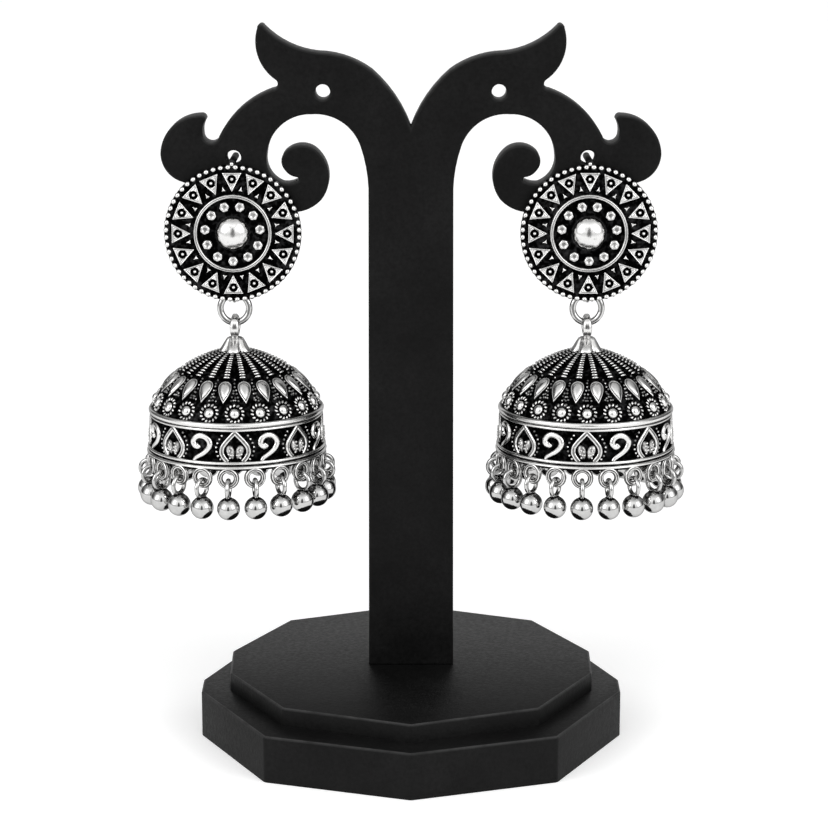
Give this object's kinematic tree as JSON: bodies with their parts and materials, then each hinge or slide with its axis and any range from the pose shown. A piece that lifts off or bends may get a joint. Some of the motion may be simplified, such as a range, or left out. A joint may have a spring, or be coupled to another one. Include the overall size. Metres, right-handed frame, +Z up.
{
  "type": "pair of drop earrings on a display stand",
  "caption": "Bell-shaped drop earrings in oxidised silver, each a disc, jump ring and domed bell with ball drops, hung on a black scrolled stand.",
  "frame": {"origin": "underside of the base, under its middle", "axes": "+X to the viewer's right along the arms, +Y away from the viewer, +Z up the column"},
  "size_m": [0.1001, 0.0812, 0.1301],
  "materials": {
    "black_board": "matte black paint with a fine grain and softly worn edges",
    "oxidised_silver": "cast silver, blackened in the recesses and polished on the relief",
    "polished_silver": "polished silver with darkened joints"
  },
  "bodies": {
    "stand": {"base_lower": "black_board", "base_upper": "black_board", "display_board": "black_board", "left_disc": "oxidised_silver", "right_disc": "oxidised_silver"},
    "left_link": {"left_ring": "polished_silver"},
    "left_drop_bell": {"left_bell": "oxidised_silver", "left_cap": "oxidised_silver", "left_drop_01": "polished_silver", "left_drop_02": "polished_silver", "left_drop_03": "polished_silver", "left_drop_04": "polished_silver", "left_drop_05": "polished_silver", "left_drop_06": "polished_silver", "left_drop_07": "polished_silver", "left_drop_08": "polished_silver", "left_drop_09": "polished_silver", "left_drop_10": "polished_silver", "left_drop_11": "polished_silver", "left_drop_12": "polished_silver", "left_drop_13": "polished_silver", "left_drop_14": "polished_silver", "left_drop_15": "polished_silver", "left_drop_16": "polished_silver", "left_drop_17": "polished_silver", "left_drop_18": "polished_silver", "left_drop_19": "polished_silver", "left_drop_20": "polished_silver", "left_drop_21": "polished_silver"},
    "right_link": {"right_ring": "polished_silver"},
    "right_drop_bell": {"right_bell": "oxidised_silver", "right_cap": "oxidised_silver", "right_drop_01": "polished_silver", "right_drop_02": "polished_silver", "right_drop_03": "polished_silver", "right_drop_04": "polished_silver", "right_drop_05": "polished_silver", "right_drop_06": "polished_silver", "right_drop_07": "polished_silver", "right_drop_08": "polished_silver", "right_drop_09": "polished_silver", "right_drop_10": "polished_silver", "right_drop_11": "polished_silver", "right_drop_12": "polished_silver", "right_drop_13": "polished_silver", "right_drop_14": "polished_silver", "right_drop_15": "polished_silver", "right_drop_16": "polished_silver", "right_drop_17": "polished_silver", "right_drop_18": "polished_silver", "right_drop_19": "polished_silver", "right_drop_20": "polished_silver", "right_drop_21": "polished_silver"}
  },
  "joints": [
    {"name": "left_side_swing", "type": "hinge", "parent": "stand", "child": "left_link", "pos_m": [-0.03185, -0.0016, 0.0792], "axis": [0, 1, 0], "range_deg": [-8, 50]},
    {"name": "left_fore_swing", "type": "hinge", "parent": "left_link", "child": "left_drop_bell", "pos_m": [-0.03185, -0.0016, 0.0766], "axis": [-1, 0, 0], "range_deg": [-50, 50]},
    {"name": "right_side_swing", "type": "hinge", "parent": "stand", "child": "right_link", "pos_m": [0.03185, -0.0016, 0.0792], "axis": [0, -1, 0], "range_deg": [-8, 50]},
    {"name": "right_fore_swing", "type": "hinge", "parent": "right_link", "child": "right_drop_bell", "pos_m": [0.03185, -0.0016, 0.0766], "axis": [-1, 0, 0], "range_deg": [-50, 50]}
  ]
}
